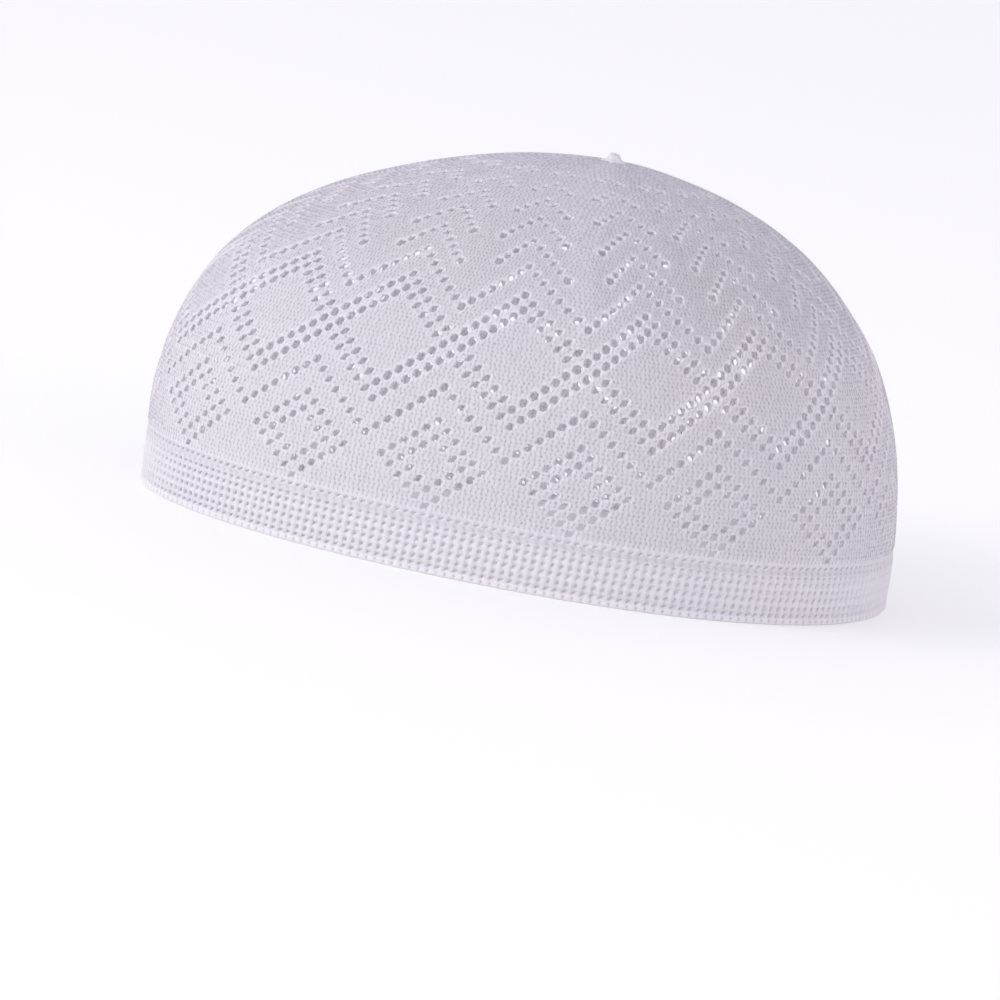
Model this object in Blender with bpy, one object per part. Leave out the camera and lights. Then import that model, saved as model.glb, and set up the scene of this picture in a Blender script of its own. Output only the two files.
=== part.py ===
"""White lace-knit kufi cap: a pierced knitted crown over a mesh band, with a rolled rim and a top knot.

Metres, +Z up. The front of the cap is at -Y and the wearer's left at +X. The rim stands on z = 0, and
the middle of its footprint is the origin. The pieces are hollow shells laid ring by ring on one form.
"""
import math
from collections import namedtuple

import bmesh
import bpy
from mathutils import Matrix, Vector

# The form, measured out from the upright line through the knot
RIM_FRONT = 0.1061
RIM_BACK = 0.0885
RIM_SIDE = 0.0759
CAP_HEIGHT = 0.1012
# How much narrower the plan is in front than behind, as a share of its half width
EGG = 0.05

# Thickness of the knitting, the height where the mesh band ends, and the gap between pieces
CROWN_WALL = 0.0012
BAND_WALL = 0.0014
BAND_TOP = 0.0146
GAP = 0.0003

# Rolled rim, and how far it stands out past the wall
LIP_HEIGHT = 0.0020
LIP_WIDTH = 0.0024
LIP_PROUD = 0.0006

# Top knot
KNOT_WIDTH = 0.0036
KNOT_HEIGHT = 0.0020

# Lace: the knitting repeats round the rim, and its chart is counted in columns and rows of eyelets
REPEATS = 15
REPEAT_COLUMNS = 14
ROW_PITCH = 0.00211
# An eyelet's size across, and the knitting left between the lowest one and the crown's edge
EYELET_WIDTH = 0.0024
EYELET_MARGIN = 0.0004
# How far round from the front the chart starts, and how far it leans round on its way to the knot
CHART_START = 0.0015
TWIST = math.radians(25)

# How finely the shells are faceted and cut
SEGMENTS_PER_REPEAT = 4
KNOT_SEGMENTS = 12
EYELET_SIDES = 6
CUTTER_REACH = 3.0
RIM_SAMPLES = 720
SHARP_DEGREES = 40

# Level sections of the form from the rim up, as shares of its height and of its reach each way
Section = namedtuple("Section", "height front side back")
FORM = [
    Section(0.000, 1.000, 1.000, 1.000),
    Section(0.120, 1.005, 1.000, 0.998),
    Section(0.250, 1.008, 0.992, 0.984),
    Section(0.380, 0.990, 0.974, 0.956),
    Section(0.500, 0.953, 0.937, 0.911),
    Section(0.620, 0.890, 0.872, 0.843),
    Section(0.730, 0.790, 0.775, 0.742),
    Section(0.820, 0.662, 0.660, 0.632),
    Section(0.890, 0.515, 0.525, 0.505),
    Section(0.945, 0.360, 0.372, 0.355),
    Section(0.980, 0.219, 0.218, 0.200),
    Section(0.995, 0.108, 0.108, 0.098),
    Section(1.000, 0.000, 0.000, 0.000),
]

# Outline of the rolled rim's cross-section, as shares of its width and height
LipPoint = namedtuple("LipPoint", "across up")
LIP_OUTLINE = [
    LipPoint(0.25, 0.00),
    LipPoint(0.75, 0.00),
    LipPoint(1.00, 0.30),
    LipPoint(1.00, 0.70),
    LipPoint(0.75, 1.00),
    LipPoint(0.25, 1.00),
    LipPoint(0.00, 0.70),
    LipPoint(0.00, 0.30),
]

# The tied-off yarn end seen from the side, as shares of its height and half width
KnotRing = namedtuple("KnotRing", "height radius")
KNOT_RINGS = [
    KnotRing(0.00, 1.00),
    KnotRing(0.25, 0.80),
    KnotRing(0.55, 0.66),
    KnotRing(0.85, 0.74),
    KnotRing(1.00, 0.56),
]

# The eyelets cut through the crown in each repeat. Column 0 is the middle of a small diamond.
Eyelet = namedtuple("Eyelet", "column row")
EYELETS = [
    Eyelet(0, 0),
    Eyelet(-5, 5),
    Eyelet(5, 5),
    Eyelet(0, 10),
    Eyelet(0, 14),
    Eyelet(7, 11),
    Eyelet(0, 20),
    Eyelet(7, 27),
]

# Colours and roughness of the yarn
KNIT_COLOUR = (0.78, 0.76, 0.82, 1.0)
TRIM_COLOUR = (0.80, 0.78, 0.83, 1.0)
KNIT_ROUGHNESS = 0.9


def clear_scene():
    for item in list(bpy.data.objects):
        bpy.data.objects.remove(item, do_unlink=True)


def make_material(name, colour):
    material = bpy.data.materials.new(name)
    material.use_nodes = True
    shader = material.node_tree.nodes["Principled BSDF"]
    shader.inputs["Base Color"].default_value = colour
    shader.inputs["Roughness"].default_value = KNIT_ROUGHNESS
    shader.inputs["Metallic"].default_value = 0.0
    return material


def add_object(name, mesh_data, material):
    """Turn a bmesh into a named object with smooth round faces and crisp edges."""
    bmesh.ops.recalc_face_normals(mesh_data, faces=mesh_data.faces)
    mesh = bpy.data.meshes.new(name)
    mesh_data.to_mesh(mesh)
    mesh_data.free()
    mesh.shade_smooth()
    mesh.set_sharp_from_angle(angle=math.radians(SHARP_DEGREES))
    mesh.materials.append(material)
    item = bpy.data.objects.new(name, mesh)
    bpy.context.scene.collection.objects.link(item)
    return item


def axis_y():
    """Where the knot's upright line stands, so that the footprint's middle is the origin."""
    front = max(RIM_FRONT + LIP_PROUD, RIM_FRONT * max(section.front for section in FORM))
    back = max(RIM_BACK + LIP_PROUD, RIM_BACK * max(section.back for section in FORM))
    return (front - back) / 2


def section_at(share):
    """The form's section at a share of its height, read between the listed ones."""
    for low, high in zip(FORM, FORM[1:]):
        if share <= high.height:
            mix = (share - low.height) / (high.height - low.height)
            return Section(*(start + (end - start) * mix for start, end in zip(low, high)))
    return FORM[-1]


def form_point(angle, height, depth=0.0):
    """A point of the form, or of the form made smaller by a depth.

    Angle 0 faces the front, and a quarter turn the wearer's left.
    """
    section = section_at(height / (CAP_HEIGHT - depth))
    ahead = math.cos(angle)
    if ahead > 0:
        reach = (RIM_FRONT - depth) * section.front
    else:
        reach = (RIM_BACK - depth) * section.back
    side = (RIM_SIDE - depth) * section.side * (1 - EGG * ahead)
    return Vector((side * math.sin(angle), axis_y() - reach * ahead, height))


def ring_points(height, depth=0.0):
    count = REPEATS * SEGMENTS_PER_REPEAT
    return [form_point(math.tau * index / count, height, depth) for index in range(count)]


def wall_heights(low, high, depth=0.0):
    """The low height, each listed section above it, and the high height."""
    listed = [section.height * (CAP_HEIGHT - depth) for section in FORM]
    return [low] + [height for height in listed if low < height < high] + [high]


def add_ring(mesh_data, points):
    return [mesh_data.verts.new(point) for point in points]


def join_rings(mesh_data, low, high):
    """A belt of four-sided faces between two rings with the same count of corners."""
    for index, corner in enumerate(low):
        before = index - 1
        mesh_data.faces.new((low[before], corner, high[index], high[before]))


def loft(mesh_data, levels):
    """Lay a ring through each level's points, join them in turn, and return both end rings."""
    rings = [add_ring(mesh_data, points) for points in levels]
    for low, high in zip(rings, rings[1:]):
        join_rings(mesh_data, low, high)
    return rings[0], rings[-1]


def close_with_peak(mesh_data, ring, peak):
    """Close a ring with a fan of triangles that meet in one point."""
    face = mesh_data.faces.new(ring)
    centre = bmesh.ops.poke(mesh_data, faces=[face])["verts"][0]
    centre.co = peak


def build_rim_edge(material):
    """The rolled rim: a rounded cord of knitting all round, flat where it rests."""
    mesh_data = bmesh.new()
    levels = []
    for corner in LIP_OUTLINE:
        depth = corner.across * LIP_WIDTH - LIP_PROUD
        lift = Vector((0.0, 0.0, corner.up * LIP_HEIGHT))
        levels.append([point + lift for point in ring_points(0.0, depth)])
    first, last = loft(mesh_data, levels)
    join_rings(mesh_data, last, first)
    return add_object("rim_edge", mesh_data, material)


def build_band(material):
    """The mesh band: an upright wall between the rolled rim and the crown."""
    heights = wall_heights(LIP_HEIGHT + GAP, BAND_TOP)
    mesh_data = bmesh.new()
    outer_low, outer_high = loft(mesh_data, [ring_points(height) for height in heights])
    inner_low, inner_high = loft(mesh_data, [ring_points(height, BAND_WALL) for height in heights])
    join_rings(mesh_data, inner_low, outer_low)
    join_rings(mesh_data, outer_high, inner_high)
    return add_object("band", mesh_data, material)


def add_dome(mesh_data, low, depth=0.0):
    """The form from a height up to its peak, made smaller by a depth. It returns the lowest ring."""
    top_ring = FORM[-2].height * (CAP_HEIGHT - depth)
    heights = wall_heights(low, top_ring, depth)
    lower, upper = loft(mesh_data, [ring_points(height, depth) for height in heights])
    close_with_peak(mesh_data, upper, Vector((0.0, axis_y(), CAP_HEIGHT - depth)))
    return lower


def rim_angle_at(length):
    """The angle where a length along the rim ends, counted from the front towards the wearer's left."""
    angles = [math.tau * index / RIM_SAMPLES for index in range(RIM_SAMPLES + 1)]
    points = [form_point(angle, 0.0) for angle in angles]
    steps = [(after - before).length for before, after in zip(points, points[1:])]
    left = length % sum(steps)
    for angle, step in zip(angles, steps):
        if left <= step:
            return angle + math.tau / RIM_SAMPLES * left / step
        left -= step
    return 0.0


def rim_length():
    angles = [math.tau * index / RIM_SAMPLES for index in range(RIM_SAMPLES + 1)]
    points = [form_point(angle, 0.0) for angle in angles]
    return sum((after - before).length for before, after in zip(points, points[1:]))


def climb_heights(angle):
    """Heights of the listed sections with the length of wall from the rim up to each."""
    climb = 0.0
    before = form_point(angle, 0.0)
    steps = []
    for section in FORM:
        at = form_point(angle, section.height * CAP_HEIGHT)
        climb += (at - before).length
        steps.append((climb, at.z))
        before = at
    return steps


def height_at_climb(angle, climb):
    steps = climb_heights(angle)
    for low, high in zip(steps, steps[1:]):
        if climb <= high[0]:
            return low[1] + (high[1] - low[1]) * (climb - low[0]) / (high[0] - low[0])
    return steps[-1][1]


def eyelet_frame(column, row):
    """Where an eyelet of the chart lies in the wall: its axes as columns, out along the third."""
    first_row = BAND_TOP + GAP + EYELET_MARGIN + EYELET_WIDTH / 2
    climb = first_row + row * ROW_PITCH
    angle = rim_angle_at(CHART_START + column * rim_length() / (REPEATS * REPEAT_COLUMNS))
    angle -= TWIST * (climb / climb_heights(angle)[-1][0]) ** 3
    height = height_at_climb(angle, climb)
    step = ROW_PITCH / 2
    up = (form_point(angle, height + step) - form_point(angle, height - step)).normalized()
    turn = EYELET_WIDTH / RIM_SIDE
    around = (form_point(angle + turn, height) - form_point(angle - turn, height)).normalized()
    out = around.cross(up).normalized()
    axes = Matrix((around, up, out)).transposed().to_4x4()
    return Matrix.Translation(form_point(angle, height) - out * CROWN_WALL / 2) @ axes


def build_eyelet_cutters():
    """One six-sided plug for each eyelet that goes through the crown."""
    mesh_data = bmesh.new()
    for repeat in range(REPEATS):
        for eyelet in EYELETS:
            bmesh.ops.create_cone(
                mesh_data,
                cap_ends=True,
                segments=EYELET_SIDES,
                radius1=EYELET_WIDTH / 2,
                radius2=EYELET_WIDTH / 2,
                depth=CROWN_WALL * CUTTER_REACH,
                matrix=eyelet_frame(eyelet.column + repeat * REPEAT_COLUMNS, eyelet.row),
            )
    mesh = bpy.data.meshes.new("eyelet_cutters")
    mesh_data.to_mesh(mesh)
    mesh_data.free()
    cutters = bpy.data.objects.new("eyelet_cutters", mesh)
    cutters.hide_render = True
    cutters.display_type = "WIRE"
    bpy.context.scene.collection.objects.link(cutters)
    return cutters


def build_crown(material):
    """The lace crown: a hollow dome, cut through at the main eyelets of the pattern."""
    low = BAND_TOP + GAP
    mesh_data = bmesh.new()
    outer_low = add_dome(mesh_data, low)
    inner_low = add_dome(mesh_data, low, CROWN_WALL)
    join_rings(mesh_data, inner_low, outer_low)
    bmesh.ops.triangulate(mesh_data, faces=mesh_data.faces)
    crown = add_object("crown", mesh_data, material)
    cut = crown.modifiers.new("eyelets", "BOOLEAN")
    cut.operation = "DIFFERENCE"
    cut.solver = "EXACT"
    cut.object = build_eyelet_cutters()
    return crown


def build_top_knot(material):
    """The gathered yarn end tied off on the peak."""
    base = Vector((0.0, axis_y(), CAP_HEIGHT + GAP))
    mesh_data = bmesh.new()
    levels = []
    for ring in KNOT_RINGS:
        arm = Vector((ring.radius * KNOT_WIDTH / 2, 0.0, ring.height * KNOT_HEIGHT))
        turns = [Matrix.Rotation(math.tau * index / KNOT_SEGMENTS, 3, "Z") for index in range(KNOT_SEGMENTS)]
        levels.append([base + turn @ arm for turn in turns])
    for ring in loft(mesh_data, levels):
        mesh_data.faces.new(ring)
    return add_object("top_knot", mesh_data, material)


def main():
    clear_scene()
    knit = make_material("white_knit", KNIT_COLOUR)
    trim = make_material("white_trim", TRIM_COLOUR)
    build_rim_edge(trim)
    build_band(knit)
    build_crown(knit)
    build_top_knot(trim)


main()
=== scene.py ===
"""White lace-knit kufi cap: the looks of its crown, mesh band, rolled rim and top knot.

Metres, +Z up. The front of the cap is at -Y and the wearer's left at +X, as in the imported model.
Each knitted piece starts as a flat grid of its chart, columns across and rows up, and is then
laid on the cap's form, so that the eyelets, the stitches and the yarn's pattern share one chart.
"""
import math
from collections import namedtuple

import bmesh
import bpy
import numpy as np
from bpy.props import FloatProperty, IntProperty, PointerProperty, StringProperty
from bpy.types import Operator, Panel, PropertyGroup
from mathutils import Matrix, Vector


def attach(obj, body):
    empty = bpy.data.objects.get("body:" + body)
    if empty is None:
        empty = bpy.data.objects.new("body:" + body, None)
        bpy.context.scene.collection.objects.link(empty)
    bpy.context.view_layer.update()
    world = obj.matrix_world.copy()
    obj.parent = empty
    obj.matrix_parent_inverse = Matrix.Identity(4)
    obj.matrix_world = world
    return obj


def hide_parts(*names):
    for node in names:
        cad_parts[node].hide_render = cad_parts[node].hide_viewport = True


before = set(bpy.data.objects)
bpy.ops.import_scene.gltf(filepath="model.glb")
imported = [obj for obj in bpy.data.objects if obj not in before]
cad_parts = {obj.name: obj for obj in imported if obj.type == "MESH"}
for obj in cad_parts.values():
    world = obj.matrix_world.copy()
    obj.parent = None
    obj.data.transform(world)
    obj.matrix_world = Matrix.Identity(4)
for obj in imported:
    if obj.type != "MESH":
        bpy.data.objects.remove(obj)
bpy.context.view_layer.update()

bl_info = {
    "name": "Lace Kufi Cap",
    "version": (1, 0, 0),
    "blender": (4, 5, 0),
    "location": "View3D > Sidebar > Kufi Cap",
    "description": "Knits a white lace kufi cap on its packed model, with a plain stage",
    "category": "Add Mesh",
}

# The form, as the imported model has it: its reach from the knot's upright line, and its height
RIM_FRONT = 0.1061
RIM_BACK = 0.0885
RIM_SIDE = 0.0759
CAP_HEIGHT = 0.1012
AXIS_Y = 0.008924
# By how much of its width it is narrower at the front than at the knot, and wider at the back
EGG = 0.05

# Level sections of the form from the rim up, as shares of its height and of its reach each way
Section = namedtuple("Section", "height front side back")
FORM = [
    Section(0.000, 1.000, 1.000, 1.000),
    Section(0.120, 1.005, 1.000, 0.998),
    Section(0.250, 1.008, 0.992, 0.984),
    Section(0.380, 0.990, 0.974, 0.956),
    Section(0.500, 0.953, 0.937, 0.911),
    Section(0.620, 0.890, 0.872, 0.843),
    Section(0.730, 0.790, 0.775, 0.742),
    Section(0.820, 0.662, 0.660, 0.632),
    Section(0.890, 0.515, 0.525, 0.505),
    Section(0.945, 0.360, 0.372, 0.355),
    Section(0.980, 0.219, 0.218, 0.200),
    Section(0.995, 0.108, 0.108, 0.098),
    Section(1.000, 0.000, 0.000, 0.000),
]

# How finely the form is surveyed, round it and up the climb to its peak
FORM_TURNS = 720
FORM_STEPS = 400

# The crown's chart: repeats round the cap, columns in each, and rows up to the knot
REPEATS = 15
REPEAT_COLUMNS = 14
CROWN_COLUMNS = REPEATS * REPEAT_COLUMNS
ROW_PITCH = 0.00211
FIRST_ROW = 0.0165
TOP_ROW = 60.5

# Where the first column starts along the rim, and how far the knitting turns on its way to the knot
CHART_START = 0.0015
TWIST = math.radians(25)
# The row up to which all rows are of one height, and the power by which the rest and the twist come in
EVEN_ROWS = 20
LATE = 3

# Half a repeat's width in columns of knitting, narrowed towards the knot
Gore = namedtuple("Gore", "row half")
GORES = [
    Gore(0.0, 7.00),
    Gore(31.0, 7.00),
    Gore(35.0, 5.98),
    Gore(40.0, 4.49),
    Gore(45.0, 3.33),
    Gore(50.0, 2.31),
    Gore(55.0, 1.24),
    Gore(60.5, 0.00),
]
# The half width below which the columns keep one pitch, that pitch, and the least half width
CLOSED_HALF = 0.3
CLOSED_PITCH = 0.0023
LEAST_HALF = 1e-3

# The crown is knitted in rings, each from one row of the chart to another
Ring = namedtuple("Ring", "name low high")
RINGS = [
    Ring("lace_small_diamonds", -0.5, 12.5),
    Ring("lace_big_diamonds", 12.5, 25.5),
    Ring("lace_chevrons", 25.5, 38.5),
    Ring("lace_crest", 38.5, 60.5),
]

# Lines of eyelets in each repeat: the eyelet at the bend, how many rows each next one climbs, and how
# many follow to the left and the right. Column 0 is the middle of a small diamond.
Line = namedtuple("Line", "column row climb left right")
LINES = [
    Line(0, 0, 1, 4, 4),
    Line(0, 10, -1, 5, 5),
    Line(0, 2, 1, 2, 2),
    Line(0, 8, -1, 3, 3),
    Line(0, 14, -1, 7, 7),
    Line(0, 18, -1, 7, 7),
    Line(0, 20, -1, 7, 7),
    Line(0, 18, 1, 7, 7),
    Line(0, 20, 1, 7, 7),
    Line(0, 24, 1, 7, 7),
    Line(7, 35, -1, 4, 5),
    Line(7, 39, -1, 4, 4),
    Line(7, 43, -1, 3, 3),
    Line(7, 47, -1, 2, 2),
    Line(7, 51, -1, 1, 1),
]
# Chevrons that start above this row end in a larger eyelet
CHEVRON_ROW = 30

# Shapes of an eyelet: its size along and across its slant, and the slant in degrees
Opening = namedtuple("Opening", "along across slant")
ROUND = Opening(0.0026, 0.0019, 80)
LEANING = Opening(0.0030, 0.0014, 56)
SLOT = Opening(0.0029, 0.0015, 34)
LAST = Opening(0.0033, 0.0027, 75)

# What changes up the chart: rows, and shares at them. The band's few rows all read the first share.
Taper = namedtuple("Taper", "rows shares")
EYELET_TAPER = Taper((10, 14, 24, 31, 45), (0.88, 1.0, 1.0, 0.76, 0.62))
# How much of the painted shade round an eyelet is left off, up the chart
COLLAR_TAPER = Taper((20, 40), (0.8, 0.6))

# Eyelets knitted by hand: the smallest comes out at this share of its size, the largest at so much more
HAND_LEAST = 0.92
HAND_SPREAD = 0.14
# Any large numbers do here: they mix a column and a row to a number between 0 and 1
HAND_MIX = (12.9898, 78.233, 43758.5453)

# The yarn round an eyelet: its width, and its parts as distances from the hole in such widths. Up to
# the first a corner is on the hole's edge. Then come where the painted shade of the valleys is fully
# left off, so the yarn reads bright, where its lip has risen, how far it stands full, and over how
# much more it fades.
STRAND_ROUND = 0.00042
ON_EDGE = 0.05
COLLAR_UNSHADED = 0.3
LIP_RISEN = 0.55
RING_FULL = 0.75
RING_FADE = 0.6
FAR = 9.0
# How much of the courses' sway it lacks, and how far from an eyelet's middle it is looked for, as a
# multiple of how far the yarn moves there
RING_STILL = 0.6
RING_REACH = 1.8

# The band's chart: its columns round the cap, and the height of each row of small holes
BAND_COLUMNS = 240
BAND_ROWS = [0.0009, 0.0023, 0.0040, 0.0062, 0.0081, 0.0102, 0.0119, 0.0131, 0.0143, 0.0156]
BAND_LOW = 0.5
BAND_HIGH = 8.5
PLAIN_ROW = 7
DASH_ROW = 8
DOT = Opening(0.00110, 0.0009, 60)
TICK = Opening(0.00145, 0.00065, 38)
DASH = Opening(0.0022, 0.0006, 38)

# How many columns the band leans back down to the rim, how narrow its ribs are, and the middle of its
# first pair of rows
BAND_LEAN = 0.6
RIB_POWER = 1.5
PAIR_MIDDLE = 1.5
# Where the plain knitting starts, over how many rows, and how much of the painted shade in its valleys is
# left off
PLAIN_START = 6.4
PLAIN_BLEND = 0.4
PLAIN_UNSHADED = 0.6

# How much of the outside's relief shows on the inside, and how deep in the wall a hole's edge lies
# from either side, as a share of it
CROWN_INSIDE = 0.8
CROWN_HOLE = 0.25
BAND_INSIDE = 0.6
BAND_HOLE = 0.3

# The rolled rim: faces to a column, how square the roll is outwards and upwards, and how tall a dimple
# is. It wanders by two slow waves, each a number of them round the rim and a start.
ROLL_CELLS = 6
ROLL_OUT = 0.7
ROLL_UP = 0.8
DIMPLE_HEIGHT = 0.0004
WANDER = ((13, 0.0), (37, 1.3))

# The top knot from its foot up, as shares of its height and of half its width, how far its foot is
# sunk into the crown, and its faces round
Waist = namedtuple("Waist", "height reach")
KNOT_WAISTS = [
    Waist(0.00, 2.50),
    Waist(0.26, 1.80),
    Waist(0.38, 1.30),
    Waist(0.50, 1.02),
    Waist(0.66, 0.88),
    Waist(0.80, 0.85),
    Waist(0.93, 0.80),
    Waist(1.00, 0.50),
]
KNOT_SUNK = 0.0004
KNOT_SIDES = 36
# Its plies of yarn, how far they stand out, and how far they turn on the way up
PLIES = 6
PLY_RELIEF = 0.13
PLY_TURN = 3.2

# The knot's loose tips: how many, the seed of their lengths, the turn from one to the next, and how far
# out they spread, by its width. Then where they sit and their least length, by its height, and how much
# of a tip's length its middle is raised from there.
TIPS = 16
TIP_SEED = 7
TIP_TURN = 2.4
TIP_SPREAD = 0.32
TIP_SEAT = 0.85
TIP_LENGTH = 0.35
TIP_RAISED = 0.3
# How far a tip leans out, to a metre that it stands from the middle, and its radius below and above
TIP_LEAN = 900
TIP_SIDES = 6
TIP_THICK = 0.00028
TIP_THIN = 0.00010

# The flat slab's two skins are this far apart before it is laid on the form
SLAB = 1.0
# Faces of the mesh to a column and to a row of the chart
CELLS = 4

# Next to nothing: in any sum, in a vector's length, in a column or row that is read from a mesh, in
# how far a corner is from a line of the chart, and in metres between corners that are one
TINY = 1e-9
NO_LENGTH = 1e-12
READING = 1e-6
OFF_LINE = 0.01
ONE_CORNER = 1e-6

# The stage: a round floor, its own faint glow, how bright the studio's walls and ceiling are, and how
# high up the ceiling is alone, from 0 at the floor's level to 1 straight above
FLOOR_RADIUS = 20.0
FLOOR_SIDES = 96
FLOOR_GLOW = "#FFF2FF"
FLOOR_GLOW_STRENGTH = 0.10
WALLS_LIGHT = 1.26
CEILING_LIGHT = 0.79
CEILING_FROM = 0.9

# Square soft lights: where they stand, how wide they are, and their power in watts
Softbox = namedtuple("Softbox", "name place width power tint")
SOFTBOXES = [
    Softbox("key", (1.1, -2.2, 0.6), 1.6, 28.0, "#FFFFFF"),
    Softbox("fill", (1.6, 1.6, 0.5), 1.6, 3.5, "#FFE4EC"),
]


def smooth(value):
    """Ease from 0 to 1 with no corner at either end."""
    value = np.clip(value, 0.0, 1.0)
    return value * value * (3 - 2 * value)


def unit(vectors):
    """Vectors brought to a length of one."""
    return vectors / np.maximum(np.linalg.norm(vectors, axis=-1, keepdims=True), NO_LENGTH)


# The form that every piece is laid on

def rounded_form(steps):
    """The form's sections read on one smooth curve through the listed ones, from the rim to the peak."""
    listed = np.array(FORM)
    # The row past the peak is the far side of the knot
    ends = np.vstack([2 * listed[0] - listed[1], listed, listed[-2] * (1, -1, -1, -1)])
    spans = np.sqrt(np.linalg.norm(np.diff(ends, axis=0), axis=1))
    knots = np.concatenate([[0.0], np.cumsum(spans)])
    reads = np.linspace(0, len(FORM) - 1, steps)
    index = np.minimum(reads.astype(int), len(FORM) - 2)
    knot = [knots[index + step][:, None] for step in range(4)]
    corner = [ends[index + step] for step in range(4)]
    at = knot[1] + (knot[2] - knot[1]) * (reads - index)[:, None]

    def between(low, high, first, second):
        return ((knot[high] - at) * first + (at - knot[low]) * second) / (knot[high] - knot[low])

    one = between(0, 1, corner[0], corner[1])
    two = between(1, 2, corner[1], corner[2])
    three = between(2, 3, corner[2], corner[3])
    return between(1, 2, between(0, 2, one, two), between(1, 3, two, three))


Form = namedtuple("Form", "angles lengths totals places outward")


def survey_form():
    """Tables of the form: places and outward directions by turn and share of the climb to the peak."""
    angles = np.linspace(0, math.tau, FORM_TURNS + 1)
    rows = rounded_form(2 * FORM_STEPS)
    ahead = np.cos(angles)[:, None]
    reach = np.where(ahead > 0, RIM_FRONT * rows[:, 1], RIM_BACK * rows[:, 3])
    side = RIM_SIDE * rows[:, 2] * (1 - EGG * ahead)
    height = np.broadcast_to(CAP_HEIGHT * rows[:, 0], reach.shape)
    points = np.stack([side * np.sin(angles)[:, None], AXIS_Y - reach * ahead, height], axis=-1)
    steps = np.linalg.norm(np.diff(points, axis=1), axis=2)
    climbs = np.concatenate([np.zeros((len(angles), 1)), np.cumsum(steps, axis=1)], axis=1)
    shares = np.linspace(0, 1, FORM_STEPS + 1)
    places = np.empty((len(angles), len(shares), 3))
    for turn in range(len(angles)):
        wanted = shares * climbs[turn, -1]
        for axis in range(3):
            places[turn, :, axis] = np.interp(wanted, climbs[turn], points[turn, :, axis])
    around = np.roll(places[:-1], -1, axis=0) - np.roll(places[:-1], 1, axis=0)
    around = np.concatenate([around, around[:1]])
    outward = np.cross(around, np.gradient(places, axis=1))
    outward[:, -1] = (0.0, 0.0, 1.0)
    rim = np.linalg.norm(np.diff(points[:, 0], axis=0), axis=1)
    lengths = np.concatenate([[0.0], np.cumsum(rim)])
    return Form(angles, lengths, climbs[:, -1], places, unit(outward))


FORM_TABLE = survey_form()
RIM_LENGTH = FORM_TABLE.lengths[-1]


def read_form(table, angle, share):
    """Read a table of the form at any turn and share of the climb."""
    turn = (angle % math.tau) / math.tau * FORM_TURNS
    step = np.clip(share, 0.0, 1.0) * FORM_STEPS
    low_turn = np.minimum(turn.astype(int), FORM_TURNS - 1)
    low_step = np.minimum(step.astype(int), FORM_STEPS - 1)
    right = (turn - low_turn)[:, None]
    up = (step - low_step)[:, None]
    below = table[low_turn, low_step] * (1 - right) + table[low_turn + 1, low_step] * right
    above = table[low_turn, low_step + 1] * (1 - right) + table[low_turn + 1, low_step + 1] * right
    return below * (1 - up) + above * up


def climb_total(angle):
    """The whole climb from the rim to the peak at a turn."""
    return np.interp(angle % math.tau, FORM_TABLE.angles, FORM_TABLE.totals)


def rim_angle(length):
    """The turn at a length along the rim, from the front."""
    return np.interp(length % RIM_LENGTH, FORM_TABLE.lengths, FORM_TABLE.angles)


def raise_from_form(angle, share, lift):
    """Points of the form at a turn and share of the climb, lifted off it by a distance."""
    places = read_form(FORM_TABLE.places, angle, share)
    outward = unit(read_form(FORM_TABLE.outward, angle, share))
    return places + outward * np.asarray(lift)[:, None]


# Knitting: a flat slab of the chart, opened at its eyelets and laid on the form

def flat_grid(columns, low, high, cells_across=CELLS, cells_up=CELLS):
    """A flat grid of the chart, with so many cells to a column and to a row."""
    mesh_data = bmesh.new()
    size = Matrix.Diagonal((columns, high - low, 1.0, 1.0))
    place = Matrix.Translation((columns / 2, (low + high) / 2, 0.0))
    bmesh.ops.create_grid(
        mesh_data,
        x_segments=columns * cells_across,
        y_segments=round((high - low) * cells_up),
        size=0.5,
        matrix=place @ size,
    )
    return mesh_data


def on_line(value, line):
    """Whether a corner or a face lies on a line of the chart."""
    return abs(value - line) < OFF_LINE


def cut_eyelets(mesh_data, repeat, eyelets):
    """Take out the corner in the middle of each eyelet, with the four cells round it."""
    middles = []
    for corner in mesh_data.verts:
        column, row = round(corner.co.x), round(corner.co.y)
        if on_line(corner.co.x, column) and on_line(corner.co.y, row) and (column % repeat, row) in eyelets:
            middles.append(corner)
    bmesh.ops.delete(mesh_data, geom=middles, context="VERTS")


def thicken(mesh_data, columns, low, high):
    """Give the grid its second skin below, closed at its edges and eyelets but open at the seam."""
    bmesh.ops.solidify(mesh_data, geom=mesh_data.faces[:], thickness=SLAB)
    seam = []
    for face in mesh_data.faces:
        lies_flat = abs(face.normal.z) > 0.5
        if lies_flat:
            continue
        middle = face.calc_center_median()
        if on_line(middle.x, 0) or on_line(middle.x, columns):
            seam.append(face)
        elif on_line(middle.y, low) or on_line(middle.y, high):
            for edge in face.edges:
                if abs(edge.verts[0].co.z - edge.verts[1].co.z) < SLAB / 2:
                    edge.smooth = False
    bmesh.ops.delete(mesh_data, geom=seam, context="FACES")


def knit_slab(columns, low, high, repeat, eyelets):
    """A flat slab of knitting with its eyelets open, of which `repeat` columns are one repeat."""
    mesh_data = flat_grid(columns, low, high)
    cut_eyelets(mesh_data, repeat, eyelets)
    thicken(mesh_data, columns, low, high)
    return mesh_data


def chart_table(eyelets, columns, rows):
    """The eyelets' shapes by column and row, all 0 where there is none, with the slant in radians."""
    table = np.zeros((columns, rows, 3))
    for (column, row), shape in eyelets.items():
        table[column, row] = (shape.along, shape.across, math.radians(shape.slant))
    return table


def hand_made(column, row):
    """How large each eyelet came out against its pattern, the same each time for one place."""
    by_column, by_row, scale = HAND_MIX
    mixed = np.sin(column * by_column + row * by_row) * scale
    return HAND_LEAST + HAND_SPREAD * (mixed - np.floor(mixed))


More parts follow.
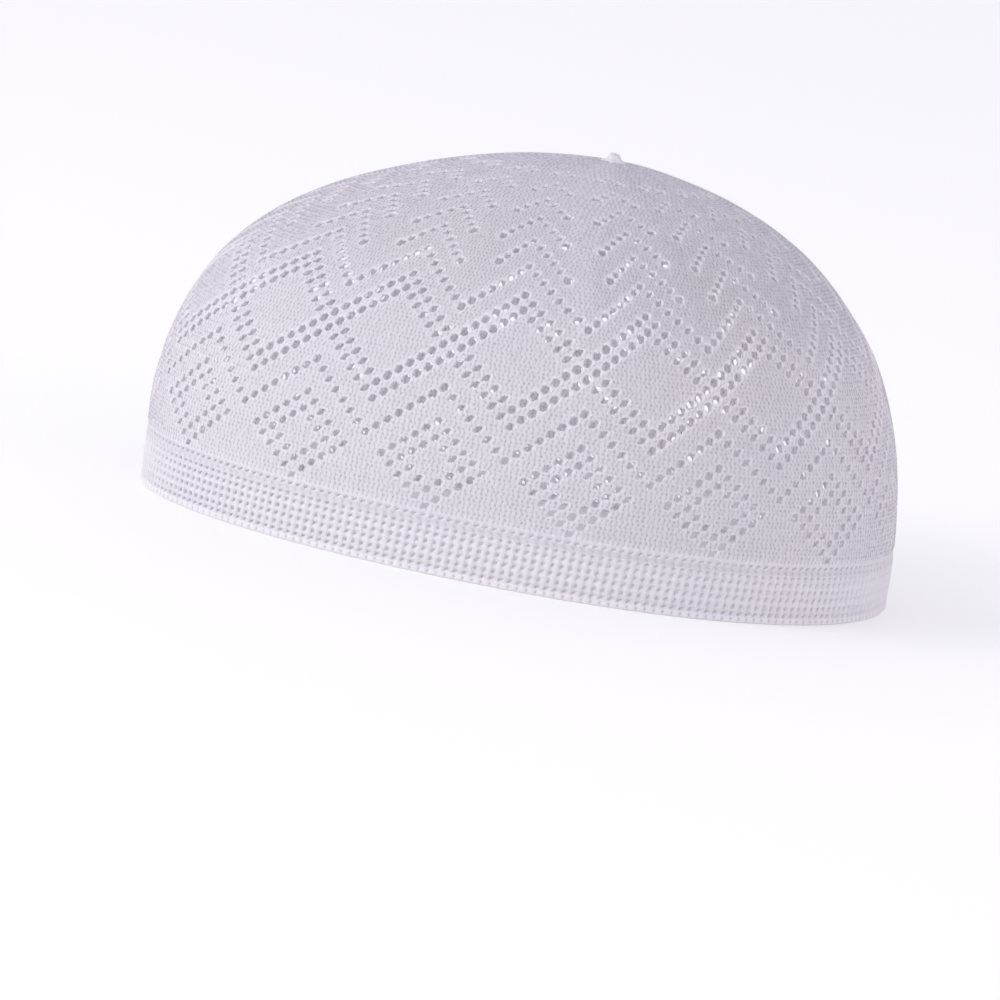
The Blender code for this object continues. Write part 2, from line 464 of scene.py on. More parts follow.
def open_eyelets(column, row, chart, pitch, rise, reach, strand, first, around):
    """Where each corner goes when the yarn is pushed back from the eyelets beside it.

    `chart` is the table of one repeat, `pitch` and `rise` are the width of a column and the height of
    a row, `reach` is how far from an eyelet's middle the yarn moves, and `strand` the least yarn left
    between two. `first` is the column of the whole piece that the chart's first one stands for, of
    `around` in all.
    It returns the shifts across and up in metres, and how far the corner then is from an eyelet's
    edge, in widths of the strand round it: 0 at the edge, and FAR where there is none beside it.
    """
    shift_across = np.zeros(len(column))
    shift_up = np.zeros(len(column))
    nearness = np.full(len(column), FAR)
    count, rows = chart.shape[:2]
    for right in (0, 1):
        for above in (0, 1):
            middle = np.floor(column + READING) + right
            level = np.floor(row + READING) + above
            inside = (level >= 0) & (level < rows)
            opening = chart[middle.astype(int) % count, np.clip(level, 0, rows - 1).astype(int)]
            size = hand_made((first + middle) % around, level) / 2 * np.interp(level, *EYELET_TAPER)
            along, across, slant = opening[:, 0] * size, opening[:, 1] * size, opening[:, 2]
            run = (column - middle) * pitch
            lift = (row - level) * rise
            distance = np.maximum(np.hypot(run, lift), TINY)
            turn = np.arctan2(lift, run)
            there = inside & (along > 0) & (distance < reach * RING_REACH)
            # From the middle to the hole's edge, and to the corner of the cut cells, this way
            hole = 1 / np.hypot(
                np.cos(turn - slant) / np.maximum(along, TINY),
                np.sin(turn - slant) / np.maximum(across, TINY))
            hole = np.minimum(hole, reach - strand / 2)
            cell = 1 / np.maximum(abs(np.cos(turn)) * CELLS / pitch, abs(np.sin(turn)) * CELLS / rise)
            pushed = hole + (distance - cell) * (reach - hole) / np.maximum(reach - cell, TINY)
            pushed = np.where(distance < reach, pushed, distance)
            shift_across += np.where(there, (pushed - distance) * np.cos(turn), 0.0)
            shift_up += np.where(there, (pushed - distance) * np.sin(turn), 0.0)
            near = (pushed - hole) / STRAND_ROUND
            nearness = np.where(there, np.minimum(nearness, near), nearness)
    return shift_across, shift_up, nearness


def skin_lift(outer, near, lift, wall, inside, hole):
    """How far off the form the corners of the two skins lie.

    `inside` is how much of the outside's relief shows on the inside, and `hole` how deep in the wall
    a hole's edge lies from either side, as a share of it.
    """
    lifted = np.where(outer, lift, -wall - lift * inside)
    return np.where(near < ON_EDGE, np.where(outer, -hole, hole - 1) * wall, lifted)


def finish_mesh(name, mesh_data):
    """A mesh of what the operators made."""
    mesh = bpy.data.meshes.new(name)
    mesh_data.to_mesh(mesh)
    mesh_data.free()
    return mesh


def add_object(mesh, material):
    """An object at the origin for a finished mesh, with its name and one material."""
    mesh.materials.append(material)
    piece = bpy.data.objects.new(mesh.name, mesh)
    bpy.context.scene.collection.objects.link(piece)
    return piece


def lay_mesh(name, mesh_data, lay, material):
    """Lay a flat slab of the chart on the form, and close its seam and the corners that meet."""
    mesh = finish_mesh(name, mesh_data)
    flat = np.empty(len(mesh.vertices) * 3)
    mesh.vertices.foreach_get("co", flat)
    flat = flat.reshape(-1, 3)
    places, pattern, collar = lay(flat[:, 0], flat[:, 1], flat[:, 2] > -SLAB / 2)
    # The collar mark: where it is full, the material leaves its painted shade off
    mesh.attributes.new("collar", "FLOAT", "POINT").data.foreach_set("value", collar)
    corners = np.empty(len(mesh.loops), dtype=np.int32)
    mesh.loops.foreach_get("vertex_index", corners)
    mesh.uv_layers.new(name="chart").data.foreach_set("uv", pattern[corners].ravel())
    mesh.vertices.foreach_set("co", places.ravel())
    laid = bmesh.new()
    laid.from_mesh(mesh)
    bmesh.ops.remove_doubles(laid, verts=laid.verts[:], dist=ONE_CORNER)
    loose = [edge for edge in laid.edges if not edge.link_faces]
    bmesh.ops.delete(laid, geom=loose, context="EDGES")
    for face in laid.faces:
        face.smooth = True
    laid.to_mesh(mesh)
    laid.free()
    return add_object(mesh, material)


# The lace crown

def chart_eyelets():
    """Each eyelet of a repeat, as column and row, with its shape."""
    eyelets = {}
    for line in LINES:
        for side, count in ((-1, line.left), (1, line.right)):
            for step in range(count + 1):
                column = (line.column + side * step) % REPEAT_COLUMNS
                place = (column, line.row + line.climb * step)
                rising = line.climb * side > 0
                shape = ROUND if rising or step == 0 else LEANING
                if line.row > CHEVRON_ROW and step == count:
                    shape = LAST
                if place not in eyelets or shape is not LEANING:
                    eyelets[place] = shape
    eyelets[(0, 0)] = SLOT
    return eyelets


def lay_crown(knit, eyelets):
    """How a crown ring goes from its chart to the form."""
    table = chart_table(eyelets, REPEAT_COLUMNS, int(TOP_ROW) + 2)
    gores = np.array(GORES)
    # How far out the form's side is at each row, against the rim: a column is as much narrower
    shares = np.linspace(0, 1, FORM_STEPS)
    side_places = read_form(FORM_TABLE.places, np.full(FORM_STEPS, math.pi / 2), shares)
    side_rows = (shares * climb_total(math.pi / 2) - FIRST_ROW) / ROW_PITCH
    side_reach = side_places[:, 0] / RIM_SIDE

    def lay(column, row, outer):
        repeat = np.minimum(np.floor(column / REPEAT_COLUMNS + TINY), REPEATS - 1)
        middle = (repeat + 0.5) * REPEAT_COLUMNS
        half = np.interp(row, gores[:, 0], gores[:, 1])
        knitted = np.clip(column - middle, -half, half)
        width = RIM_LENGTH / CROWN_COLUMNS * np.interp(row, side_rows, side_reach)
        spread = width * REPEAT_COLUMNS / 2 / np.maximum(half, CLOSED_HALF)
        pitch = np.where(half > CLOSED_HALF, spread, CLOSED_PITCH)
        across, up, near = open_eyelets(
            knitted + REPEAT_COLUMNS / 2, row, table, pitch, ROW_PITCH,
            np.hypot(pitch, ROW_PITCH) / 2, knit.strand, repeat * REPEAT_COLUMNS, CROWN_COLUMNS)

        # Courses, stitches and the yarn round an eyelet stand up, and all lie flat where the band starts
        ring = 1 - smooth((near - RING_FULL) / RING_FADE)
        lip = -knit.ridge + (knit.ridge + knit.collar) * smooth(near / LIP_RISEN)
        course = -np.cos(2 * math.tau * knitted) * knit.ridge
        stitch = np.cos(2 * math.tau * row) * knit.bead
        lift = (course + stitch) * (1 - ring) + lip * ring
        sway = knit.sway * np.sin(math.tau * row) * (1 - RING_STILL * ring)
        from_band = row - RINGS[0].low
        up *= np.clip(from_band * CELLS, 0.0, 1.0)
        edge = smooth(np.minimum(from_band, 1.0) * 2)
        lift *= edge
        sway *= edge

        # The chart's place of the corner, and from it the place on the form, twisted towards the knot
        steps = knitted + (across + sway) / pitch
        chart_column = middle + steps * REPEAT_COLUMNS / 2 / np.maximum(half, LEAST_HALF)
        chart_column = np.where(half < LEAST_HALF, middle, chart_column)
        chart_row = row + up / ROW_PITCH
        start = rim_angle(CHART_START + chart_column * RIM_LENGTH / CROWN_COLUMNS)
        total = climb_total(start)
        spare = total - FIRST_ROW - TOP_ROW * ROW_PITCH
        stretched = np.clip((chart_row - EVEN_ROWS) / (TOP_ROW - EVEN_ROWS), 0, 1) ** LATE
        climb = FIRST_ROW + chart_row * ROW_PITCH + spare * stretched
        share = climb / total
        late = share ** LATE
        angle = start - TWIST * late
        there = climb / climb_total(angle)
        share = there + (share - there) * late
        off_form = skin_lift(outer, near, lift, knit.wall, CROWN_INSIDE, CROWN_HOLE)
        pattern = np.stack([middle + knitted, row], axis=1)
        # How much of the valleys' painted shade is left off round an eyelet, less of it up the chart
        collar = ring * smooth(near / COLLAR_UNSHADED) * np.interp(row, *COLLAR_TAPER)
        return raise_from_form(angle, share, off_form), pattern, collar

    return lay


def knit_ring(ring, eyelets, knit, material):
    """One ring of the crown."""
    slab = knit_slab(CROWN_COLUMNS, ring.low, ring.high, REPEAT_COLUMNS, eyelets)
    return lay_mesh(ring.name, slab, lay_crown(knit, eyelets), material)


# The mesh band

def band_eyelets():
    """The band's small holes: dots and slanted ticks in pairs, then a plain row and a row of dashes."""
    eyelets = {}
    for row in range(1, DASH_ROW + 1):
        if row != PLAIN_ROW:
            eyelets[(0, row)] = DASH if row == DASH_ROW else TICK if row % 2 else DOT
    return eyelets


def lay_band(knit, band, eyelets):
    """How the band goes from its chart to the form."""
    table = chart_table(eyelets, 1, len(BAND_ROWS))
    pitch = RIM_LENGTH / BAND_COLUMNS
    rise = (BAND_ROWS[DASH_ROW] - BAND_ROWS[1]) / (DASH_ROW - 1)
    top = FIRST_ROW + RINGS[0].low * ROW_PITCH

    def lay(column, row, outer):
        reach = np.where(row > PLAIN_ROW, pitch / 2, rise / 2)
        across, up, near = open_eyelets(
            column, row, table, pitch, rise, reach, band.strand, 0, BAND_COLUMNS)

        # Upright ribs between the columns of holes, with stitches between their rows
        rib = smooth(np.abs(column - np.round(column)) * 2) ** RIB_POWER
        knot = np.cos(math.pi * (row - PAIR_MIDDLE)) * np.cos(math.tau * column)
        lift = band.rib * rib + band.knot * np.maximum(knot, 0.0) * (1 - rib)
        lift += band.knot / 2 * np.cos(2 * math.tau * row) * (1 - rib)
        # Plain knitting above them, as on the crown, that lies flat where the crown starts
        plain = smooth((row - PLAIN_START) / PLAIN_BLEND)
        course = -np.cos(2 * math.tau * column) * knit.ridge
        edge = smooth((BAND_HIGH - row) * 2)
        lift = (lift * (1 - plain) + course * plain) * edge
        sway = knit.sway * np.sin(math.tau * (row - BAND_HIGH)) * plain * edge

        height = np.interp(row, range(len(BAND_ROWS)), BAND_ROWS)
        height = np.where(row >= BAND_HIGH - READING, top, height) + up
        length = column * pitch + across + sway - BAND_LEAN * pitch * (1 - height / top)
        angle = rim_angle(CHART_START + length)
        off_form = skin_lift(outer, near, lift, band.wall, BAND_INSIDE, BAND_HOLE)
        places = raise_from_form(angle, height / climb_total(angle), off_form)
        # The collar mark leaves the painted shade off the ribs and off part of the plain knitting
        return places, np.stack([column, row], axis=1), rib * (1 - plain) + PLAIN_UNSHADED * plain

    return lay


def knit_band(knit, band, material):
    """The mesh band, from the rolled rim to the crown."""
    eyelets = band_eyelets()
    slab = knit_slab(BAND_COLUMNS, BAND_LOW, BAND_HIGH, 1, eyelets)
    return lay_mesh("mesh_band", slab, lay_band(knit, band, eyelets), material)


# The rolled rim and the top knot

def roll_rim(trim, material):
    """The rolled rim: the band's lowest course turned in on itself, dimpled below each column of holes."""

    def squared(value, power):
        return np.sign(value) * np.abs(value) ** power

    def lay(column, side, outer):
        turn = -side / trim.sides * math.tau
        outwards = squared(np.cos(turn), ROLL_OUT)
        upwards = squared(np.sin(turn), ROLL_UP)
        height = trim.height / 2 * (1 - upwards)
        below_hole = np.maximum(np.cos(math.tau * column), 0.0) ** 2
        dimple = below_hole * np.exp(-((height - BAND_ROWS[0]) / DIMPLE_HEIGHT) ** 2)
        scallop = np.cos(math.tau * (column + 0.5)) * trim.rib
        wander = sum(np.sin(column * math.tau * waves / BAND_COLUMNS + start) for waves, start in WANDER)
        relief = np.where(outwards > 0, scallop - trim.dimple * dimple, 0.0)
        out = trim.width / 2 * (outwards - 1) + trim.proud
        out += relief + trim.waver * wander / len(WANDER)
        length = (column - BAND_LEAN) * RIM_LENGTH / BAND_COLUMNS
        angle = rim_angle(CHART_START + length)
        places = raise_from_form(angle, height / climb_total(angle), out)
        places[:, 2] = height
        # The collar mark lets the painted shade into the dimples only
        return places, np.stack([column, side], axis=1), 1 - dimple

    grid = flat_grid(BAND_COLUMNS, 0, trim.sides, cells_across=ROLL_CELLS, cells_up=1)
    return lay_mesh("rolled_rim", grid, lay, material)


def gather_yarn(mesh_data, trim, base):
    """The knot's waisted, twisted stub of yarn, closed below and above."""
    level = bmesh.ops.create_circle(mesh_data, cap_ends=False, segments=KNOT_SIDES, radius=1.0)["verts"]
    foot = edges = mesh_data.edges[:]
    levels = [level]
    for _ in KNOT_WAISTS[1:]:
        grown = bmesh.ops.extrude_edge_only(mesh_data, edges=edges)["geom"]
        level = [item for item in grown if isinstance(item, bmesh.types.BMVert)]
        edges = [item for item in grown if isinstance(item, bmesh.types.BMEdge)
                 and all(end in level for end in item.verts)]
        levels.append(level)
    for level, waist in zip(levels, KNOT_WAISTS):
        for corner in level:
            turn = math.atan2(corner.co.y, corner.co.x)
            ply = 1 + PLY_RELIEF * math.cos(PLIES * turn + PLY_TURN * waist.height)
            reach = waist.reach * ply * trim.knot_width / 2
            height = waist.height * trim.knot_height
            corner.co = base + Vector((math.cos(turn) * reach, math.sin(turn) * reach, height))
    bmesh.ops.contextual_create(mesh_data, geom=edges)
    bmesh.ops.contextual_create(mesh_data, geom=foot)
    bmesh.ops.recalc_face_normals(mesh_data, faces=mesh_data.faces[:])


def add_tips(mesh_data, trim, base):
    """Loose tips of yarn on the knot, from its middle outwards."""
    tips = np.random.default_rng(TIP_SEED)
    upright = Vector((0, 0, 1))
    for tip in range(TIPS):
        turn = tip * TIP_TURN
        lean = Vector((math.cos(turn), math.sin(turn), 0.0)) * trim.knot_width * TIP_SPREAD
        lean = lean * math.sqrt((tip + 0.5) / TIPS)
        length = trim.knot_height * (TIP_LENGTH + TIP_LENGTH * tips.random())
        middle = base + lean + Vector((0, 0, trim.knot_height * TIP_SEAT + length * TIP_RAISED))
        aim = Vector((lean.x * TIP_LEAN, lean.y * TIP_LEAN, 1.0))
        bmesh.ops.create_cone(
            mesh_data, cap_ends=True, segments=TIP_SIDES, radius1=TIP_THICK, radius2=TIP_THIN, depth=length,
            matrix=Matrix.Translation(middle) @ upright.rotation_difference(aim).to_matrix().to_4x4(),
        )


def tie_knot(trim, material):
    """The gathered yarn end that closes the crown."""
    base = Vector((0.0, AXIS_Y, CAP_HEIGHT - KNOT_SUNK))
    mesh_data = bmesh.new()
    gather_yarn(mesh_data, trim, base)
    add_tips(mesh_data, trim, base)
    for face in mesh_data.faces:
        face.smooth = True
    return add_object(finish_mesh("yarn_knot", mesh_data), material)


# Materials

def linear(hex_colour):
    """An sRGB hex colour as linear light."""
    channels = [int(hex_colour[start:start + 2], 16) / 255 for start in (1, 3, 5)]
    light = [level / 12.92 if level <= 0.04045 else ((level + 0.055) / 1.055) ** 2.4 for level in channels]
    return light + [1.0]


def add_node(tree, kind, settings=(), links=(), values=()):
    """Add a node with its settings, the sockets that feed it and its fixed values."""
    node = tree.nodes.new(kind)
    for name, value in dict(settings).items():
        setattr(node, name, value)
    for name, value in dict(values).items():
        node.inputs[name].default_value = value
    for name, source in dict(links).items():
        tree.links.new(source, node.inputs[name])
    return node


def knitted_cotton(name, yarn, crossings, valley, stitched, through):
    """Knitted cotton, washed and unglazed: matt and soft, with no highlight, and light comes through it.

    Courses and stitches are read from the piece's own chart: `crossings` are how many courses there are
    to a column and how many stitches to a row, `valley` is how much of the shadow colour is painted
    between them as shade, and `stitched` how much of that painted shade comes and goes with the
    stitches. `through` is the share of the light that passes.
    """
    material = bpy.data.materials.new(name)
    material.use_nodes = True
    tree = material.node_tree
    tree.nodes.clear()
    chart = add_node(tree, "ShaderNodeUVMap", {"uv_map": "chart"})
    split = add_node(tree, "ShaderNodeSeparateXYZ", links={"Vector": chart.outputs["UV"]})
    place = add_node(tree, "ShaderNodeTexCoord")

    def wave(source, waves):
        spun = add_node(tree, "ShaderNodeMath", {"operation": "MULTIPLY"}, {0: source}, {1: waves * math.tau})
        return add_node(tree, "ShaderNodeMath", {"operation": "COSINE"}, {0: spun.outputs[0]}).outputs[0]

    # Loose fibres, 0.4 mm across, and the slow drift of the white over 30 mm
    fibre = add_node(tree, "ShaderNodeTexNoise", links={"Vector": place.outputs["Object"]},
                     values={"Scale": 2500.0, "Detail": 2.0, "Roughness": 0.6})
    drift = add_node(tree, "ShaderNodeTexNoise", links={"Vector": place.outputs["Object"]},
                     values={"Scale": 33.0, "Detail": 1.0})
    # Where two courses meet, and where a stitch turns, the yarn lies deeper, and the shade that falls there
    # is painted into its colour. No stitch is quite in line: each is pulled a little aside, by an amount
    # that changes over about 1.1 mm.
    slack = add_node(tree, "ShaderNodeTexNoise", links={"Vector": place.outputs["Object"]},
                     values={"Scale": 900.0})
    pulled = add_node(tree, "ShaderNodeMath", {"operation": "MULTIPLY_ADD"},
                      {0: slack.outputs["Fac"], 2: split.outputs["X"]}, {1: 0.5})
    course = wave(pulled.outputs[0], crossings[0])
    stitch = wave(split.outputs["Y"], crossings[1])
    turn = add_node(tree, "ShaderNodeMath", {"operation": "MULTIPLY_ADD"}, {0: stitch},
                    {1: stitched, 2: 1 - abs(stitched)})
    deep = add_node(tree, "ShaderNodeMath", {"operation": "MULTIPLY", "use_clamp": True},
                    {0: course, 1: turn.outputs[0]})
    shade = add_node(tree, "ShaderNodeMix", {"data_type": "RGBA"}, {"Factor": drift.outputs["Fac"]},
                     {"A": linear(yarn.colour), "B": linear(yarn.drift)})
    # Fibres cover some of the valleys and their painted shade, and round an eyelet the yarn lies flat and
    # the painted shade is left off, so it reads bright
    fluff = add_node(tree, "ShaderNodeMapRange", links={"Value": fibre.outputs["Fac"]},
                     values={"From Min": 0.3, "From Max": 0.6, "To Min": 0.2, "To Max": 1.0})
    collar = add_node(tree, "ShaderNodeAttribute", {"attribute_name": "collar"})
    plain = add_node(tree, "ShaderNodeMath", {"operation": "SUBTRACT"}, {1: collar.outputs["Fac"]}, {0: 1.0})
    sunk = add_node(tree, "ShaderNodeMath", {"operation": "MULTIPLY"},
                    {0: deep.outputs[0], 1: fluff.outputs["Result"]})
    sunk = add_node(tree, "ShaderNodeMath", {"operation": "MULTIPLY"},
                    {0: sunk.outputs[0], 1: plain.outputs[0]})
    # The painted shade: the shadow colour multiplied into the yarn where the valleys lie
    dark = add_node(tree, "ShaderNodeMath", {"operation": "MULTIPLY"}, {0: sunk.outputs[0]}, {1: valley})
    painted_shade = add_node(tree, "ShaderNodeMix", {"data_type": "RGBA", "blend_type": "MULTIPLY"},
                    {"Factor": dark.outputs[0], "A": shade.outputs["Result"]}, {"B": linear(yarn.shadow)})
    # Fibres and valleys are felt as bumps, up to 0.12 mm deep
    raised = add_node(tree, "ShaderNodeMath", {"operation": "MULTIPLY_ADD"},
                      {0: fibre.outputs["Fac"], 2: deep.outputs[0]}, {1: 0.5})
    bump = add_node(tree, "ShaderNodeBump", {"invert": True}, {"Height": raised.outputs[0]},
                    {"Strength": 0.6, "Distance": 0.00012})
    shader = add_node(tree, "ShaderNodeBsdfPrincipled",
                      links={"Base Color": painted_shade.outputs["Result"], "Normal": bump.outputs["Normal"]},
                      values={"Roughness": 0.85, "IOR": 1.5, "Specular IOR Level": 0.25,
                              "Sheen Weight": 0.15, "Sheen Roughness": 0.5})
    glow = add_node(tree, "ShaderNodeBsdfTranslucent",
                    links={"Color": painted_shade.outputs["Result"], "Normal": bump.outputs["Normal"]})
    mixed = add_node(tree, "ShaderNodeMixShader", links={1: shader.outputs[0], 2: glow.outputs[0]},
                     values={0: through})
    add_node(tree, "ShaderNodeOutputMaterial", links={"Surface": mixed.outputs[0]})
    return material


def white_paper(colour):
    """Matt white paper off a roll: it shows no highlight, and its faint glow keeps shadows light."""
    material = bpy.data.materials.new("matt_white_paper")
    material.use_nodes = True
    shader = material.node_tree.nodes["Principled BSDF"]
    shader.inputs["Base Color"].default_value = linear(colour)
    shader.inputs["Roughness"].default_value = 0.95
    shader.inputs["Emission Color"].default_value = linear(FLOOR_GLOW)
    shader.inputs["Emission Strength"].default_value = FLOOR_GLOW_STRENGTH
    return material


# The stage

def lay_floor(stage):
    """The round floor that the cap rests on."""
    floor_data = bmesh.new()
    bmesh.ops.create_circle(floor_data, cap_ends=True, segments=FLOOR_SIDES, radius=FLOOR_RADIUS)
    return add_object(finish_mesh("floor", floor_data), white_paper(stage.floor))


def set_camera(scene, stage, middle):
    """The camera at the cap's left, rolled as the cap is tilted in the picture."""
    back = Vector((math.cos(stage.elevation), 0.0, math.sin(stage.elevation)))
    place = middle + back * stage.distance
    level = Vector((0.0, 1.0, 0.0))
    upright = level.cross(-back)
    right = level * math.cos(stage.roll) + upright * math.sin(stage.roll)
    up = upright * math.cos(stage.roll) - level * math.sin(stage.roll)
    aim = middle - right * stage.left - up * stage.down
    back = (place - aim).normalized()
    right = up.cross(back).normalized()
    up = back.cross(right)
    camera = bpy.data.objects.new("camera", bpy.data.cameras.new("camera"))
    camera.data.lens = stage.lens
    camera.data.sensor_width = 36.0
    camera.data.clip_start = 0.01
    camera.data.clip_end = 100.0
    camera.matrix_world = Matrix.Translation(place) @ Matrix((right, up, back)).transposed().to_4x4()
    scene.collection.objects.link(camera)
    scene.camera = camera


def light_studio(scene, stage, middle):
    """A white studio: walls that are brighter and warmer than its ceiling, and soft lights."""
    world = bpy.data.worlds.new("studio")
    world.use_nodes = True
    tree = world.node_tree
    aim = add_node(tree, "ShaderNodeTexCoord")
    height = add_node(tree, "ShaderNodeSeparateXYZ", links={"Vector": aim.outputs["Generated"]})
    climb = add_node(tree, "ShaderNodeMapRange", {"interpolation_type": "SMOOTHSTEP"},
                     {"Value": height.outputs["Z"]},
                     {"From Min": 0.0, "From Max": CEILING_FROM, "To Min": 0.0, "To Max": 1.0})
    room = add_node(tree, "ShaderNodeMix", {"data_type": "RGBA"}, {"Factor": climb.outputs["Result"]},
                    {"A": [WALLS_LIGHT * level for level in linear(stage.walls)],
                     "B": [CEILING_LIGHT * level for level in linear(stage.ceiling)]})
    tree.links.new(room.outputs["Result"], tree.nodes["Background"].inputs["Color"])
    scene.world = world
    for box in SOFTBOXES:
        light = bpy.data.lights.new(box.name, "AREA")
        light.size = box.width
        light.energy = box.power
        light.color = linear(box.tint)[:3]
        lamp = bpy.data.objects.new(box.name, light)
        lamp.location = box.place
        lamp.rotation_mode = "QUATERNION"
        lamp.rotation_quaternion = (Vector(box.place) - middle).to_track_quat("Z", "Y")
        scene.collection.objects.link(lamp)


# Settings that a user may change

class KnitSettings(PropertyGroup):
    wall: FloatProperty(
        name="Wall", description="Thickness of the knitting", default=0.00075, unit="LENGTH")
    ridge: FloatProperty(
        name="Ridge", description="How far a course of stitches stands up", default=0.00021, unit="LENGTH")
    bead: FloatProperty(
        name="Stitch", description="How far each stitch stands up along its course",
        default=0.00005, unit="LENGTH")
    sway: FloatProperty(
        name="Sway", description="How far a course swings each way", default=0.00024, unit="LENGTH")
    collar: FloatProperty(
        name="Collar", description="How far the yarn round an eyelet stands up",
        default=0.00022, unit="LENGTH")
    strand: FloatProperty(
        name="Strand", description="Least yarn left between two eyelets", default=0.0005, unit="LENGTH")


class BandSettings(PropertyGroup):
    wall: FloatProperty(
        name="Wall", description="Thickness of the band", default=0.0012, unit="LENGTH")
    rib: FloatProperty(
        name="Rib", description="How far the upright ribs stand up", default=0.00022, unit="LENGTH")
    knot: FloatProperty(
        name="Stitch", description="How far the stitch between two holes stands up",
        default=0.00016, unit="LENGTH")
    strand: FloatProperty(
        name="Strand", description="Least yarn left between two holes", default=0.00035, unit="LENGTH")


class TrimSettings(PropertyGroup):
    width: FloatProperty(
        name="Width", description="Thickness of the rolled rim", default=0.0021, unit="LENGTH")
    height: FloatProperty(
        name="Height", description="Height of the rolled rim", default=0.0019, unit="LENGTH")
    proud: FloatProperty(
        name="Proud", description="How far the rolled rim stands out past the wall",
        default=0.0003, unit="LENGTH")
    rib: FloatProperty(
        name="Rib", description="How far the ribs round the roll stand up", default=0.00006, unit="LENGTH")
    dimple: FloatProperty(
        name="Dimple", description="Depth of the dimples below the mesh", default=0.00025, unit="LENGTH")
    waver: FloatProperty(
        name="Waver", description="How far the roll wanders in and out along the rim",
        default=0.00012, unit="LENGTH")
    sides: IntProperty(name="Sides", description="Faces round the roll", default=14)
    knot_width: FloatProperty(
        name="Knot width", description="Width of the tied-off yarn end", default=0.0036, unit="LENGTH")
    knot_height: FloatProperty(
        name="Knot height", description="Height of the tied-off yarn end", default=0.0021, unit="LENGTH")


class YarnSettings(PropertyGroup):
    colour: StringProperty(name="Colour", description="The white yarn, as sRGB hex", default="#FCF9FB")
    drift: StringProperty(
        name="Drift", description="What the white drifts to over about 30 mm", default="#F8F8FC")
    # Colour of the shade painted between courses, in the roll's dimples and over the knot
    shadow: StringProperty(
        name="Shadow", description="Tint of the yarn that lies between courses", default="#9C92A6")
    through: FloatProperty(
        name="Light through", description="Share of the light that passes through the knitting",
        default=0.5, subtype="FACTOR")


class StageSettings(PropertyGroup):
    distance: FloatProperty(
        name="Distance", description="From the camera to the cap", default=1.4, unit="LENGTH")
    elevation: FloatProperty(
        name="Elevation", description="Camera's angle above the floor",
        default=math.radians(7.5), subtype="ANGLE")
    roll: FloatProperty(
        name="Roll", description="Turn of the camera about its view",
        default=math.radians(9.81), subtype="ANGLE")
    lens: FloatProperty(name="Lens", description="Focal length on a 36 mm sensor", default=195.85)
    middle_height: FloatProperty(
        name="Middle height", description="Height that the distance is measured to",
        default=0.04555, unit="LENGTH")
    left: FloatProperty(
        name="Left", description="How far left of the cap's middle the camera aims",
        default=0.0109, unit="LENGTH")
    down: FloatProperty(
        name="Down", description="How far below the cap's middle the camera aims",
        default=0.03385, unit="LENGTH")
    floor: StringProperty(name="Floor", description="Colour of the floor, as sRGB hex", default="#FAFDF8")
    walls: StringProperty(
        name="Walls", description="Tint of the light from the studio's walls, as sRGB hex",
        default="#FFFDFD")
    ceiling: StringProperty(
        name="Ceiling", description="Tint of the light from the studio's ceiling, as sRGB hex",
        default="#F2EEFF")


class KUFI_OT_crown(Operator):
    """Knit the lace crown in rings"""
    bl_idname = "kufi.crown"
    bl_label = "Lace crown"

    def execute(self, context):
        knit = context.scene.kufi_knit
        yarn = context.scene.kufi_yarn
        material = knitted_cotton("knitted_cotton", yarn, crossings=(2, 2), valley=0.6, stitched=-0.3,
                                  through=yarn.through)
        eyelets = chart_eyelets()
        for ring in RINGS:
            piece = knit_ring(ring, eyelets, knit, material)
            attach(piece, "root")
            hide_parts("crown")
        return {"FINISHED"}


class KUFI_OT_band(Operator):
    """Knit the mesh band"""
    bl_idname = "kufi.band"
    bl_label = "Mesh band"

    def execute(self, context):
        yarn = context.scene.kufi_yarn
        material = knitted_cotton("knitted_cotton_mesh", yarn, crossings=(1, 1), valley=0.9, stitched=0.4,
                                  through=yarn.through)
        piece = knit_band(context.scene.kufi_knit, context.scene.kufi_band, material)
        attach(piece, "root")
        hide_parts("band")
        return {"FINISHED"}


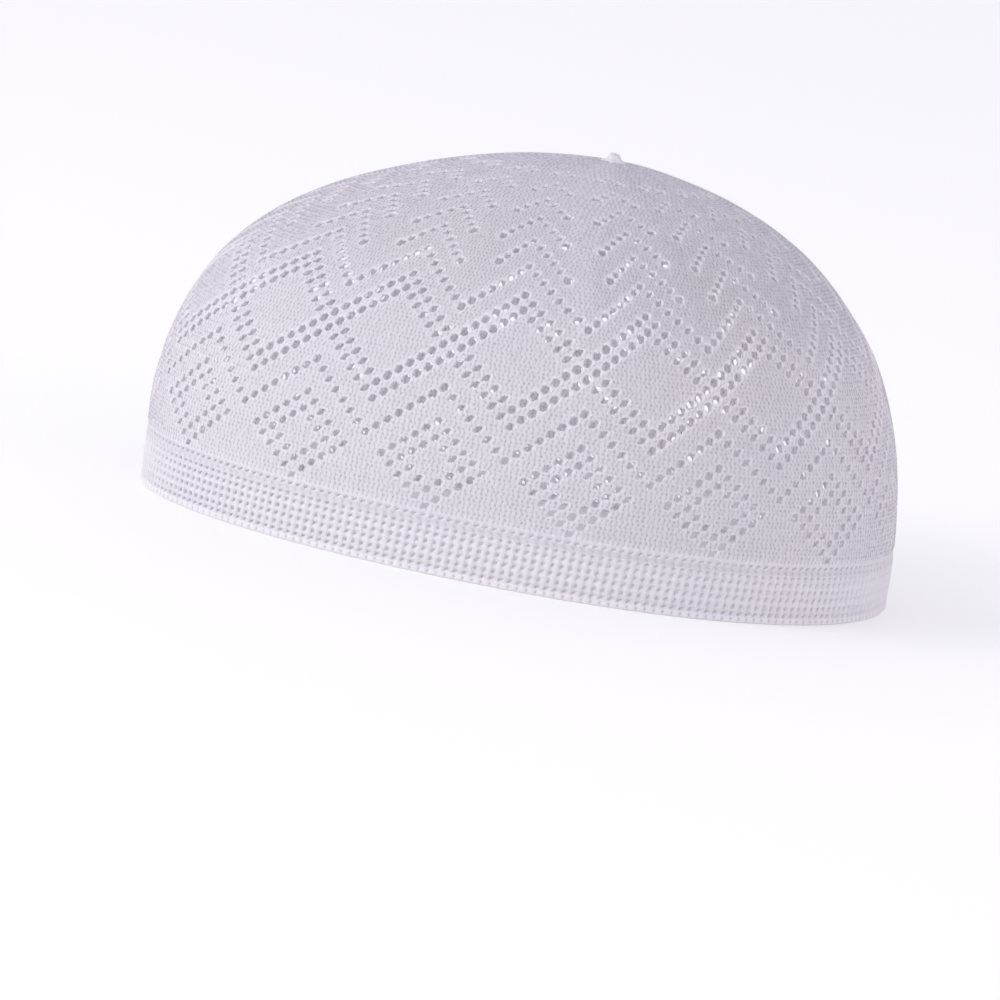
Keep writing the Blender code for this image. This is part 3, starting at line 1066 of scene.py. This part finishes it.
class KUFI_OT_trim(Operator):
    """Roll the rim and tie the top knot"""
    bl_idname = "kufi.trim"
    bl_label = "Rim and knot"

    def execute(self, context):
        trim = context.scene.kufi_trim
        yarn = context.scene.kufi_yarn
        # The roll and the knot are thicker, so less light comes through, and neither shows courses. The roll
        # gets painted shade only in its dimples; the knot has no collar mark, so a little painted shade lies
        # all over it, patchy with the fibres.
        rolled = knitted_cotton("rolled_cotton", yarn, crossings=(0, 0), valley=0.7, stitched=0.0,
                                through=0.8 * yarn.through)
        tied = knitted_cotton("tied_cotton", yarn, crossings=(0, 0), valley=0.25, stitched=0.0,
                              through=0.4 * yarn.through)
        for piece, node in ((roll_rim(trim, rolled), "rim_edge"), (tie_knot(trim, tied), "top_knot")):
            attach(piece, "root")
            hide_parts(node)
        return {"FINISHED"}


class KUFI_OT_stage(Operator):
    """Set the floor, the soft lights and the camera"""
    bl_idname = "kufi.stage"
    bl_label = "Stage"

    def execute(self, context):
        scene = context.scene
        stage = scene.kufi_stage
        middle = Vector((0.0, 0.0, stage.middle_height))
        floor = lay_floor(stage)
        set_camera(scene, stage, middle)
        light_studio(scene, stage, middle)
        scene.view_settings.view_transform = "Standard"
        return {"FINISHED"}


class KUFI_PT_panel(Panel):
    """The cap's operators, each with its settings"""
    bl_idname = "KUFI_PT_panel"
    bl_label = "Lace Kufi Cap"
    bl_space_type = "VIEW_3D"
    bl_region_type = "UI"
    bl_category = "Kufi Cap"

    def draw(self, context):
        for operator, groups in SECTIONS:
            box = self.layout.box()
            box.operator(operator.bl_idname)
            for settings in groups:
                group = getattr(context.scene, settings)
                for name in group.__annotations__:
                    box.prop(group, name)


SECTIONS = (
    (KUFI_OT_crown, ("kufi_yarn", "kufi_knit")),
    (KUFI_OT_band, ("kufi_band",)),
    (KUFI_OT_trim, ("kufi_trim",)),
    (KUFI_OT_stage, ("kufi_stage",)),
)
SETTINGS = {
    "kufi_yarn": YarnSettings,
    "kufi_knit": KnitSettings,
    "kufi_band": BandSettings,
    "kufi_trim": TrimSettings,
    "kufi_stage": StageSettings,
}
CLASSES = (*SETTINGS.values(), *(operator for operator, _ in SECTIONS), KUFI_PT_panel)


def register():
    for item in CLASSES:
        bpy.utils.register_class(item)
    for name, group in SETTINGS.items():
        setattr(bpy.types.Scene, name, PointerProperty(type=group))


def unregister():
    for name in SETTINGS:
        delattr(bpy.types.Scene, name)
    for item in reversed(CLASSES):
        bpy.utils.unregister_class(item)


def main():
    register()
    bpy.ops.kufi.crown()
    bpy.ops.kufi.band()
    bpy.ops.kufi.trim()
    bpy.ops.kufi.stage()


if __name__ == "__main__":
    main()
